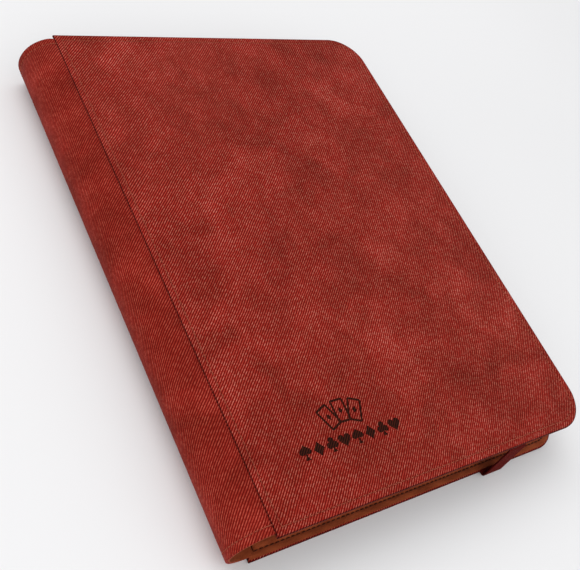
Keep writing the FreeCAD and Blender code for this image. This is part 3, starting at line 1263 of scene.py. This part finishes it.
@dataclass
class Spine:
    """The soft half-round wall, in strips that each span one fold of the frame."""

    sizes: Sizes
    skin_wall: float = 1.45 * MM
    lining_wall: float = 0.6 * MM
    end_round: float = 0.5 * MM
    end_segments: int = 4
    # The most of the wall that its rounded end may take.
    end_share: float = 0.45
    tuck: float = 2.6 * MM
    dip: float = 0.35 * MM
    steps: int = 10
    stitch_from_end: float = 4.6 * MM
    stitches_per_strip: int = 3
    stitch_length: float = 2.0 * MM
    thread_radius: float = 0.28 * MM
    thread_sunk: float = 0.1 * MM
    groove_depth: float = 0.3 * MM
    groove_half_width: float = 0.6 * MM
    cell: float = 12 * MM
    cell_margin: float = 8 * MM
    tuck_fade: float = 3.6 * MM
    edge_angle: float = 40.0
    # Slack for picking the vertices that lie on a line or a face.
    touch: float = 0.05 * MM

    def body(self, stave: int) -> str:
        """The frame's body of a stave.

        Args:
            stave: Its number, from 1 at the back cover.

        Returns:
            The body's name.
        """
        if stave == self.sizes.middle_stave:
            return "spine_middle"
        return f"spine_stave_{stave}"

    def point(self, radius: float, angle: float, y: float = 0.0) -> Vector:
        """A point of the spine; 270 degrees is the back seam and 90 the front one.

        Args:
            radius: From the spine's axis.
            angle: In degrees.
            y: Along the spine.

        Returns:
            The point.
        """
        turn = math.radians(angle)
        return Vector((self.sizes.seam_x + radius * math.cos(turn), y,
                       self.sizes.spine_centre_z + radius * math.sin(turn)))

    def section(self, name: str, outer: float, wall: float, angle: float,
                grooves: bool) -> Piece:
        """The wall's long thin section, standing at an angle of the half circle.

        Args:
            name: The piece's name.
            outer: The outer radius.
            wall: The wall's thickness.
            angle: Where the section stands, in degrees.
            grooves: Whether the stitching line near each end is pressed in.

        Returns:
            The section.
        """
        half = self.sizes.spine_half_length
        section = new_plane(name, (outer - wall, -half), (outer, half), 0.0)
        with editing(section, "VERT"):
            pick_all()
            bpy.ops.mesh.bevel(offset=min(self.end_round, wall * self.end_share),
                               segments=self.end_segments, affect="VERTICES")
        row = half - self.stitch_from_end
        places = spaced(-half + self.cell_margin, half - self.cell_margin, self.cell)
        for end in (-1, 1):
            places += [end * (row + side * self.groove_half_width) for side in (-1, 0, 1)]
        slice_along(section, 1, sorted(places))
        if grooves:
            with editing(section, "VERT"):
                pick_vertices(section, lambda place: place.x > outer - self.touch
                              and abs(abs(place.y) - row) < self.touch)
                bpy.ops.transform.translate(value=(-self.groove_depth, 0, 0))
        section.data.transform(Matrix.Rotation(-math.radians(angle), 4, "Y"))
        move_mesh(section, (self.sizes.seam_x, 0, self.sizes.spine_centre_z))
        return section

    def sweep(self, section: Piece, angle: float) -> None:
        """Spins a section about the spine's axis into a closed strip.

        Args:
            section: The section.
            angle: How far it is spun, in degrees.
        """
        with editing(section):
            pick_all()
            bpy.ops.mesh.spin(steps=self.steps, angle=math.radians(angle),
                              center=(self.sizes.seam_x, 0, self.sizes.spine_centre_z),
                              axis=(0, 1, 0))
        close_strip(section)

    def map_cloth(self, strip: Piece) -> None:
        """Unrolls the strip into a map in metres, across the spine and along it.

        Args:
            strip: The strip.
        """
        layer = strip.data.uv_layers.new(name=Pattern.ALONG_SURFACE.value)
        centre = Vector((self.sizes.seam_x, 0, self.sizes.spine_centre_z))
        for loop in strip.data.loops:
            place = strip.data.vertices[loop.vertex_index].co - centre
            if place.x > 0:
                run = math.copysign(math.pi / 2 * self.sizes.spine_radius + place.x, place.z)
            else:
                run = math.atan2(place.z, -place.x) * self.sizes.spine_radius
            layer.data[loop.index].uv = (run, place.y)

    def stitches(self, name: str, start: float, end: float) -> Piece:
        """Stitches across the strip near both ends of the spine.

        Args:
            name: The piece's name.
            start: The strip's first angle.
            end: Its last angle.

        Returns:
            The stitches.
        """
        made = []
        span = (end - start) / self.stitches_per_strip
        radius = self.sizes.spine_radius - self.thread_sunk
        row = self.sizes.spine_half_length - self.stitch_from_end
        for y in (-row, row):
            for index in range(self.stitches_per_strip):
                stitch = new_stitch(name, self.stitch_length, self.thread_radius)
                angle = start + span * (index + 0.5)
                move_mesh(stitch, (-self.stitch_length / 2, 0, 0))
                stitch.data.transform(Matrix.Rotation(math.radians(90 - angle), 4, "Y"))
                move_mesh(stitch, self.point(radius, angle, y))
                made.append(stitch)
        return join(name, made)

    def strip(self, name: str, outer: float, wall: float, start: float, end: float,
              grooves: bool) -> Piece:
        """One strip of wall between two angles of the half circle.

        Args:
            name: The piece's name.
            outer: The outer radius.
            wall: The thickness.
            start: The first angle.
            end: The last angle.
            grooves: Whether it has stitching lines.

        Returns:
            The strip.
        """
        strip = self.section(name, outer, wall, start, grooves)
        self.sweep(strip, end - start)
        return strip

    def tuck_in(self, strip: Piece) -> None:
        """Runs a strip's free end on, flat, under the edge of the cover, a little sunk.

        Args:
            strip: The first or the last strip.
        """
        inwards = math.copysign(self.dip, self.sizes.spine_centre_z - strip.data.vertices[0].co.z)
        seam = self.sizes.seam_x - self.touch
        with editing(strip):
            pick_faces(strip, lambda centre, normal: normal.x > FACING and centre.x > seam)
            extrude(self.tuck, 0, 0)
            pick_vertices(strip, lambda place: place.x > seam)
            bpy.ops.transform.translate(value=(0, 0, inwards), use_proportional_edit=True,
                                        proportional_edit_falloff="SMOOTH",
                                        proportional_size=self.tuck_fade)

    def build(self, finishes: Finishes) -> list[Piece]:
        """Models and dresses every strip of the spine.

        Args:
            finishes: The binder's finishes.

        Returns:
            The spine's pieces, from the back cover to the front one.
        """
        made = []
        staves, angle = self.sizes.staves, self.sizes.stave_angle
        layers = (
            ("skin", self.sizes.spine_radius, self.skin_wall, "red_fabric"),
            ("lining", self.sizes.spine_inner_radius + self.lining_wall, self.lining_wall,
             "suede_lining"),
        )
        for layer, outer, wall, slot in layers:
            for fold in range(staves + 1):
                start = 270.0 - angle * max(0.0, fold - 0.5)
                end = 270.0 - angle * min(float(staves), fold + 0.5)
                name = f"spine_{layer}_strip_{fold}"
                strip = self.strip(name, outer, wall, start, end, layer == "skin")
                if fold in (0, staves):
                    self.tuck_in(strip)
                self.map_cloth(strip)
                smooth(strip, self.edge_angle)
                if layer == "skin":
                    dress(strip, finishes.spine_cloth, finishes.thread)
                    self.sew(strip, name, start, end, finishes)
                else:
                    dress(strip, finishes.spine_lining)
                self.hang(strip, layer, fold)
                made.append(strip)
        return made

    def sew(self, strip: Piece, name: str, start: float, end: float,
            finishes: Finishes) -> None:
        """Joins the end stitches to a strip, in the thread's own finish.

        Args:
            strip: The strip.
            name: Its name.
            start: Its first angle.
            end: Its last angle.
            finishes: The binder's finishes.
        """
        stitches = self.stitches(name + "_stitches", start, end)
        dress(stitches, finishes.thread)
        join(name, [strip, stitches])

    def hang(self, strip: Piece, layer: str, fold: int) -> None:
        """Ties an end strip to the stave it ends on; a middle strip is left free, with its place
        baked into its mesh.

        Args:
            strip: The strip.
            layer: skin or lining.
            fold: The fold's number.
        """
        staves = self.sizes.staves
        if fold == 0:
            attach(strip, self.body(1))
        elif fold == staves:
            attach(strip, self.body(staves))
        else:
            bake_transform(strip)
        if fold < staves:
            nodes = [f"spine_{layer}_{fold + 1}"]
            if layer == "skin":
                nodes.append(f"spine_core_{fold + 1}")
            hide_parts(*nodes)


def close_strip(strip: Piece) -> None:
    """Fills any open end of a swept wall and turns its faces outwards.

    Args:
        strip: The swept strip.
    """
    with editing(strip, "EDGE"):
        pick_all()
        bpy.ops.mesh.remove_doubles(threshold=DOUBLES)
        pick_none()
        bpy.ops.mesh.select_non_manifold(use_wire=False, use_multi_face=False,
                                         use_non_contiguous=False, use_verts=False)
        if any(edge.select for edge in bmesh.from_edit_mesh(strip.data).edges):
            bpy.ops.mesh.edge_face_add()
        pick_all()
        bpy.ops.mesh.normals_make_consistent(inside=False)


# ---------------------------------------------------------------- leaves


@dataclass
class PocketLeaves:
    """Twenty black sheets with three by three glossy pockets on both sides."""

    count: int = 20
    sheet: float = 0.35 * MM
    margin: float = 11.0 * MM
    pocket_width: float = 66.5 * MM
    pocket_height: float = 91.0 * MM
    weld: float = 2.0 * MM
    slit: float = 1.0 * MM
    columns: int = 3
    rows: int = 3
    corner: float = 4.0 * MM
    corner_segments: int = 6
    # A pocket's film, from its welded rim inwards: how far in, and how much it rises there.
    film_steps: tuple[Pair, ...] = (
        (0.3 * MM, 0.1 * MM), (0.5 * MM, 0.12 * MM), (5.0 * MM, 0.06 * MM), (12.0 * MM, 0.02 * MM))
    film_rise: float = 0.01 * MM
    edge_angle: float = 30.0

    def pattern(self) -> Piece:
        """One leaf at the place of the first, modelled with its pockets.

        Returns:
            The leaf.
        """
        low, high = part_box("leaf_01")
        middle = (low.z + high.z) / 2
        leaf = new_plane("pocket_leaf", (low.x, low.y), (high.x, high.y), middle - self.sheet / 2)
        with editing(leaf, "VERT"):
            pick_vertices(leaf, lambda place: place.x > high.x - MM)
            bpy.ops.mesh.bevel(offset=self.corner, segments=self.corner_segments,
                               affect="VERTICES")
        with editing(leaf):
            pick_all()
            extrude(0, 0, self.sheet)
        face_outwards(leaf)
        column_pitch = self.pocket_width + self.weld + self.slit
        row_pitch = self.pocket_height + self.weld
        lefts = [low.x + self.margin + index * column_pitch for index in range(self.columns)]
        row_start = -(self.rows * row_pitch + self.weld) / 2 + self.weld
        bottoms = [row_start + index * row_pitch for index in range(self.rows)]
        slice_along(leaf, 0, [x for left in lefts for x in (left, left + self.pocket_width)])
        slice_along(leaf, 1, [y for low_y in bottoms for y in (low_y, low_y + self.pocket_height)])

        def in_pocket(centre: Vector) -> bool:
            """Whether a face lies inside a pocket's rim.

            Args:
                centre: The face's centre.

            Returns:
                True inside one.
            """
            across = any(left < centre.x < left + self.pocket_width for left in lefts)
            up = any(bottom < centre.y < bottom + self.pocket_height for bottom in bottoms)
            return across and up

        with editing(leaf):
            pick_faces(leaf, lambda centre, normal: abs(normal.z) > FACING and in_pocket(centre))
            for thickness, depth in self.film_steps:
                bpy.ops.mesh.inset(thickness=thickness, depth=depth, use_individual=True)
        return leaf

    def build(self, finishes: Finishes) -> list[Piece]:
        """Models the leaf and copies it to every place in the stack.

        Args:
            finishes: The binder's finishes.

        Returns:
            The leaves, from the front cover down.
        """
        pattern = self.pattern()
        dress(pattern, finishes.sheet, finishes.film)
        origin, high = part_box("leaf_01")
        middle = (origin.z + high.z) / 2
        for face in pattern.data.polygons:
            raised = abs(face.center.z - middle) > self.sheet / 2 + self.film_rise
            face.material_index = 1 if raised else 0
        smooth(pattern, self.edge_angle)
        leaves = []
        for number in range(1, self.count + 1):
            node = f"leaf_{number:02d}"
            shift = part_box(node)[0] - origin
            leaf = copy_of(pattern, f"pocket_{node}", shift)
            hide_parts(node)
            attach(leaf, node)
            leaves.append(leaf)
        bpy.data.objects.remove(pattern)
        return leaves


# ---------------------------------------------------------------- strap


@dataclass
class ElasticStrap:
    """The flat elastic: sewn into the back cover, over the leaves and under the front cover."""

    sizes: Sizes
    thickness: float = 1.0 * MM
    tail: float = 18 * MM
    tail_z: float = 1.4 * MM
    low_stand_off: float = 3.1 * MM
    high_stand_off: float = -0.3 * MM
    run_z: float = 33.6 * MM
    low_bend: float = 2.2 * MM
    high_bend: float = 4.0 * MM
    bend_steps: int = 7
    lengthwise_cuts: int = 7
    rounding: float = 0.25 * MM
    # Where the run across the leaves is divided, as shares of the half height.
    run_shares: tuple[float, ...] = (0.6, 0.3, 0.0)
    rest_gap: float = 0.06

    def half_route(self) -> list[Vector]:
        """The strap's line on one side, from its tail to the middle of its run, in (y, z).

        Returns:
            The points.
        """
        edge = self.sizes.half_height
        corners = [
            Vector((edge - self.tail, self.tail_z)),
            Vector((edge + self.low_stand_off, self.tail_z)),
            Vector((edge + self.high_stand_off, self.run_z)),
            Vector((0.0, self.run_z)),
        ]
        points = [corners[0]]
        for before, corner, after, radius in zip(corners, corners[1:], corners[2:],
                                                 (self.low_bend, self.high_bend)):
            arrive = (corner - before).normalized()
            leave = (after - corner).normalized()
            reach = radius * math.tan(arrive.angle(leave) / 2)
            first, last = corner - arrive * reach, corner + leave * reach
            for step in range(self.bend_steps + 1):
                share = step / self.bend_steps
                points.append(first.lerp(corner, share).lerp(corner.lerp(last, share), share))
        return points + [Vector((edge * share, self.run_z)) for share in self.run_shares]

    def build(self, finishes: Finishes) -> Piece:
        """Models and dresses the strap.

        Args:
            finishes: The binder's finishes.

        Returns:
            The strap.
        """
        low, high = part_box("elastic_strap")
        half = self.half_route()
        route = half + [Vector((-point.x, point.y)) for point in half[-2::-1]]
        strap = new_plane("strap_band", (low.x, 0.0), (high.x, high.x - low.x), 0.0)
        with editing(strap, "VERT"):
            pick_vertices(strap, lambda place: place.y > MM)
            bpy.ops.mesh.delete(type="VERT")
            pick_all()
            bpy.ops.mesh.subdivide(number_cuts=self.lengthwise_cuts)
            pick_all()
            bpy.ops.transform.translate(value=(0, route[0].x, route[0].y))
            for here, there in zip(route, route[1:]):
                extrude(0, there.x - here.x, there.y - here.y)
        face_outwards(strap)
        self.map_cloth(strap, route)
        wall = strap.modifiers.new("wall", "SOLIDIFY")
        wall.thickness = self.thickness
        wall.offset = 0
        rounding = strap.modifiers.new("rounding", "BEVEL")
        rounding.width = self.rounding
        rounding.segments = 2
        apply_modifiers(strap)
        smooth(strap, CLOTH_EDGE_ANGLE)
        dress(strap, finishes.elastic)
        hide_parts("elastic_strap")
        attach(strap, "back_cover")
        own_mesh(strap)
        return strap

    def map_cloth(self, strap: Piece, route: list[Vector]) -> None:
        """Maps the strap across its width and along its route, in metres.

        Args:
            strap: The band before it has its thickness.
            route: The line that it follows.
        """
        layer = strap.data.uv_layers.new(name=Pattern.ALONG_SURFACE.value)
        lengths = [0.0]
        for here, there in zip(route, route[1:]):
            lengths.append(lengths[-1] + (there - here).length)
        for loop in strap.data.loops:
            place = strap.data.vertices[loop.vertex_index].co
            section = Vector((place.y, place.z))
            nearest = min(range(len(route)), key=lambda index: (route[index] - section).length)
            layer.data[loop.index].uv = (place.x, lengths[nearest])


# ---------------------------------------------------------------- mark on the front cover


@dataclass
class CardMark:
    """A plain mark of the trade, pressed into the front skin: fanned cards over a row of pips."""

    sizes: Sizes
    row_start: float = 31 * MM
    row_end: float = 101 * MM
    row_middle: float = 35 * MM
    layer_step: float = 0.012 * MM
    pip_size: float = 8.4 * MM
    pips: int = 8
    fan_u: float = 67.5 * MM
    fan_v: float = 44.5 * MM
    card_width: float = 9.0 * MM
    card_height: float = 14.0 * MM
    card_line: float = 1.3 * MM
    fan_angle: float = 24.0
    fan_step: float = 5.5 * MM
    fan_drop: float = 1.2 * MM
    fan_spread: float = 1.5 * MM
    card_corner: float = 1.4 * MM
    card_corner_segments: int = 4
    lozenge_width: float = 3.4 * MM
    lozenge_height: float = 4.4 * MM
    pressed: float = 0.22 * MM
    plate: float = 0.12 * MM
    edge_angle: float = 30.0
    # The pips' outlines, as shares of their size: a heart's points, a diamond's or a lobe's.
    heart_points: int = 28
    round_points: int = 16
    diamond_width: float = 0.86
    diamond_hollow: float = 0.9
    lobe_radius: float = 0.22
    lobes: tuple[Pair, ...] = ((0.0, 0.28), (-0.23, -0.04), (0.23, -0.04))
    stalk_outline: tuple[Pair, ...] = (
        (-0.05, 0.1), (-0.07, -0.3), (-0.2, -0.5), (0.2, -0.5), (0.07, -0.3), (0.05, 0.1))
    # The heart curve's own width, and how a heart and a spade's blade are fitted to a pip.
    curve_size: float = 32
    heart_lift: float = 0.06
    spade_lift: float = 0.14
    spade_width: float = 34
    spade_squash: float = 0.75

    def spot(self, u: float, v: float) -> Vector:
        """A point on the front cover, from the seam and from the bottom edge."""
        return Vector((self.sizes.seam_x + u, -self.sizes.half_height + v, 0))

    def heart(self, inverted: bool) -> Piece:
        """A heart from its usual curve, or a spade: the same upside down, on a stalk.

        Args:
            inverted: Whether it is the spade's blade.

        Returns:
            The flat shape.
        """
        points = []
        for turn in turns(self.heart_points):
            x = 16 * math.sin(turn) ** 3
            y = (13 * math.cos(turn) - 5 * math.cos(2 * turn) - 2 * math.cos(3 * turn)
                 - math.cos(4 * turn))
            if inverted:
                points.append((x / self.spade_width,
                               self.spade_lift - self.spade_squash * y / self.curve_size))
            else:
                points.append((x / self.curve_size, self.heart_lift + y / self.curve_size))
        return flat_shape("heart", points)

    def diamond(self) -> Piece:
        """A diamond with slightly hollow sides.

        Returns:
            The flat shape.
        """
        points = []
        for turn in turns(self.round_points):
            reach = 0.5 / (abs(math.cos(turn)) ** self.diamond_hollow
                           + abs(math.sin(turn)) ** self.diamond_hollow)
            points.append((self.diamond_width * reach * math.cos(turn), reach * math.sin(turn)))
        return flat_shape("diamond", points)

    def stalk(self) -> Piece:
        """The foot of a spade or a club."""
        return flat_shape("stalk", self.stalk_outline)

    def discs(self) -> list[Piece]:
        """A club's three lobes.

        Returns:
            The flat shapes.
        """
        return [flat_shape("lobe", [(x + self.lobe_radius * math.cos(turn),
                                     y + self.lobe_radius * math.sin(turn))
                                    for turn in turns(self.round_points)])
                for x, y in self.lobes]

    def pip(self, index: int) -> Piece:
        """The pip at a place in the row.

        Args:
            index: The place, from 0.

        Returns:
            The flat pip.
        """
        kinds = (
            lambda: [self.heart(True), self.stalk()],
            lambda: [self.diamond()],
            lambda: [*self.discs(), self.stalk()],
            lambda: [self.heart(False)],
        )
        shapes = kinds[index % len(kinds)]()
        for layer, shape in enumerate(shapes):
            move_mesh(shape, (0, 0, -layer * self.layer_step))
        return join("pip", shapes)

    def card(self, turn: float) -> Piece:
        """One card of the fan, as a frame with round corners and a small lozenge in it.

        Args:
            turn: How far the card leans, in degrees.

        Returns:
            The flat card.
        """
        half_w, half_h = self.card_width / 2, self.card_height / 2
        frame = new_plane("card", (-half_w, -half_h), (half_w, half_h), 0.0)
        with editing(frame, "VERT"):
            pick_all()
            bpy.ops.mesh.bevel(offset=self.card_corner, segments=self.card_corner_segments,
                               affect="VERTICES")
        with editing(frame):
            pick_all()
            bpy.ops.mesh.inset(thickness=self.card_line, depth=0, use_even_offset=True)
            bpy.ops.mesh.delete(type="FACE")
        lozenge = self.diamond()
        lozenge.data.transform(Matrix.Diagonal((self.lozenge_width, self.lozenge_height, 1, 1)))
        card = join("card", [frame, lozenge])
        move_mesh(card, (0, half_h, 0))
        card.data.transform(Matrix.Rotation(math.radians(turn), 4, "Z"))
        move_mesh(card, (-math.sin(math.radians(turn)) * self.fan_spread, 0, 0))
        return card

    def build(self, finishes: Finishes, skin: Piece) -> Piece:
        """Presses the mark into the skin and fills it with stamped cloth.

        Args:
            finishes: The binder's finishes.
            skin: The front cover's skin, which is pressed in under the mark.

        Returns:
            The mark's own piece.
        """
        flat = []
        pitch = (self.row_end - self.row_start - self.pip_size) / (self.pips - 1)
        for index in range(self.pips):
            pip = self.pip(index)
            pip.data.transform(Matrix.Diagonal((self.pip_size, self.pip_size, 1, 1)))
            where = self.spot(self.row_start + self.pip_size / 2 + pitch * index, self.row_middle)
            move_mesh(pip, where)
            flat.append(pip)
        for share in (-1, 0, 1):
            card = self.card(-share * self.fan_angle)
            where = self.spot(self.fan_u + share * self.fan_step,
                              self.fan_v - abs(share) * self.fan_drop)
            where.z = share * self.layer_step
            move_mesh(card, where)
            flat.append(card)
        mark = join("card_mark", flat)
        self.press(mark, skin)
        self.thicken(mark, self.sizes.thickness - self.pressed, self.plate)
        dress(mark, finishes.stamp)
        smooth(mark, self.edge_angle)
        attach(mark, "front_cover")
        return mark

    def press(self, mark: Piece, skin: Piece) -> None:
        """Cuts the mark's outline a little way into the skin.

        Args:
            mark: The flat mark.
            skin: The front cover's skin.
        """
        die = copy_of(mark, "die", Vector((0, 0, 0)))
        self.thicken(die, self.sizes.thickness - self.pressed, 3 * self.pressed)
        stamp = skin.modifiers.new("stamp", "BOOLEAN")
        stamp.operation = "DIFFERENCE"
        stamp.solver = "EXACT"
        stamp.use_self = True
        stamp.object = die
        apply_modifiers(skin)
        bpy.data.objects.remove(die)
        face_outwards(skin)
        smooth(skin, CLOTH_EDGE_ANGLE)

    def thicken(self, flat: Piece, bottom: float, height: float) -> None:
        """Turns flat shapes at height 0 into a solid that stands on a bottom.

        Args:
            flat: The shapes.
            bottom: Where the solid's underside goes.
            height: How tall the solid is.
        """
        move_mesh(flat, (0, 0, bottom))
        with editing(flat):
            pick_all()
            extrude(0, 0, height)
            pick_all()
            bpy.ops.mesh.normals_make_consistent(inside=False)


def turns(count: int) -> list[float]:
    """Evenly spaced turns round a whole circle, in radians."""
    return [2 * math.pi * step / count for step in range(count)]


def flat_shape(name: str, points: Sequence[Pair]) -> Piece:
    """A flat face through points given round its outline, made from a filled circle.

    Args:
        name: The piece's name.
        points: The outline, in order.

    Returns:
        The flat shape.
    """
    deselect()
    bpy.ops.mesh.primitive_circle_add(vertices=len(points), radius=1, fill_type="NGON")
    shape = bpy.context.object
    shape.name = name
    for vertex, (x, y) in zip(shape.data.vertices, points):
        vertex.co = (x, y, 0)
    return shape


# ---------------------------------------------------------------- studio


@dataclass
class Studio:
    """Floor, soft lights and the camera."""

    floor_size: float = 9.0
    floor_drop: float = 0.2 * MM
    camera_place: Triple = (-0.33069, -0.22998, 0.40565)
    camera_turn: Triple = (37.3, -24.48, -27.68)
    lens: float = 54.25
    sensor: float = 36.0
    nearest: float = 0.01
    sky: float = 0.78
    white: tuple[float, float, float, float] = (1.0, 1.0, 1.0, 1.0)
    # Each soft light: its name, its place, its side and its power.
    lights: tuple[tuple[str, Triple, float, float], ...] = (
        ("key_light", (-0.5, 0.9, 1.7), 1.6, 14),
        ("fill_light", (-1.3, -0.9, 0.9), 1.4, 5.5),
        ("low_light", (0.5, -1.5, 0.5), 1.2, 1.5))

    def build(self) -> None:
        """Builds the studio."""
        half = self.floor_size / 2
        floor = new_plane("studio_floor", (-half, -half), (half, half), -self.floor_drop)
        dress(floor, StudioFloor().material())
        for name, place, size, power in self.lights:
            self.light(name, place, size, power)
        world = bpy.data.worlds.new("studio_air")
        world.use_nodes = True
        background = world.node_tree.nodes["Background"]
        background.inputs["Color"].default_value = self.white
        background.inputs["Strength"].default_value = self.sky
        bpy.context.scene.world = world
        bpy.context.scene.view_settings.view_transform = "Standard"
        self.camera()

    def light(self, name: str, place: Triple, size: float, power: float) -> None:
        """A soft square light that faces the binder.

        Args:
            name: The light's name.
            place: Where it hangs.
            size: Its side.
            power: Its power in watts.
        """
        deselect()
        bpy.ops.object.light_add(type="AREA", location=place)
        lamp = bpy.context.object
        lamp.name = name
        lamp.data.size = size
        lamp.data.energy = power
        lamp.rotation_euler = (-Vector(place)).to_track_quat("-Z", "Y").to_euler()

    def camera(self) -> None:
        """The camera above the spine's bottom end, looking across the front cover."""
        deselect()
        turn = Euler([math.radians(angle) for angle in self.camera_turn], "XYZ")
        bpy.ops.object.camera_add(location=self.camera_place, rotation=turn)
        camera = bpy.context.object
        camera.data.lens = self.lens
        camera.data.sensor_width = self.sensor
        camera.data.clip_start = self.nearest
        bpy.context.scene.camera = camera


# ---------------------------------------------------------------- the binder


def dress_frame_nodes(frame: dict, finishes: Finishes) -> None:
    """Gives the carried-over nodes their finishes.

    Args:
        finishes: The binder's finishes.
    """
    for side in Side:
        dress(frame["nodes"][side.value + "_cover_board"], finishes.board)
        dress(frame["nodes"][side.value + "_cover_foam"], finishes.foam)
    dress(frame["nodes"]["binding_block"], finishes.binding)


def main() -> None:
    """Builds the binder and its studio, and logs each piece's face count."""
    logging.basicConfig(level=logging.INFO, format="%(name)s: %(message)s")
    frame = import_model()
    sizes = read_sizes()
    finishes = Finishes()
    Studio().build()
    dress_frame_nodes(frame, finishes)
    back_pieces = Cover(Side.BACK, sizes).build(finishes)
    front_pieces = Cover(Side.FRONT, sizes).build(finishes)
    pieces = back_pieces + front_pieces + Spine(sizes).build(finishes)
    pieces += PocketLeaves().build(finishes)
    pieces.append(ElasticStrap(sizes).build(finishes))
    pieces.append(CardMark(sizes).build(finishes, front_pieces[0]))
    for piece in pieces:
        log.info("%s: %d faces", piece.name, len(piece.data.polygons))


if __name__ == "__main__":
    main()
